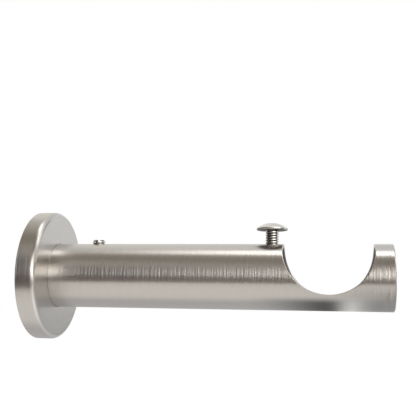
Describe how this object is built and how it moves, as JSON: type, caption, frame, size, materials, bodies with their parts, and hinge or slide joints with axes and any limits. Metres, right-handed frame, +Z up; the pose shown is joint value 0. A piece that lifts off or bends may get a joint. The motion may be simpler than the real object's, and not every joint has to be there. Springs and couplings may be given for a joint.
{
  "type": "curtain pole bracket",
  "caption": "Wall bracket for a round curtain pole: a round rose, a straight brushed tube and a half-round cup near its tip, with a domed clamp screw beside the cup.",
  "frame": {"origin": "centre of the wall face, on the tube's axis", "axes": "+X out of the wall along the tube, +Z up, +Y along the pole"},
  "size_m": [0.1207, 0.044, 0.044],
  "materials": {
    "brushed_nickel": "satin nickel, brushed round the tube and in circles on the rose",
    "nickel_screw": "bright nickel plate",
    "zinc_steel": "zinc-plated steel"
  },
  "bodies": {
    "bracket": {"rose": "brushed_nickel", "wall_plate": "zinc_steel", "spigot": "zinc_steel", "spigot_screw": "zinc_steel", "arm_tube": "brushed_nickel", "end_cap": "brushed_nickel", "lock_screw": "nickel_screw"},
    "clamp": {"clamp_screw": "nickel_screw"}
  },
  "joints": [
    {"name": "clamp_screw_travel", "type": "slide", "parent": "bracket", "child": "clamp", "axis": [0, 0, -1], "range_m": [-0.004, 0.0045]}
  ]
}
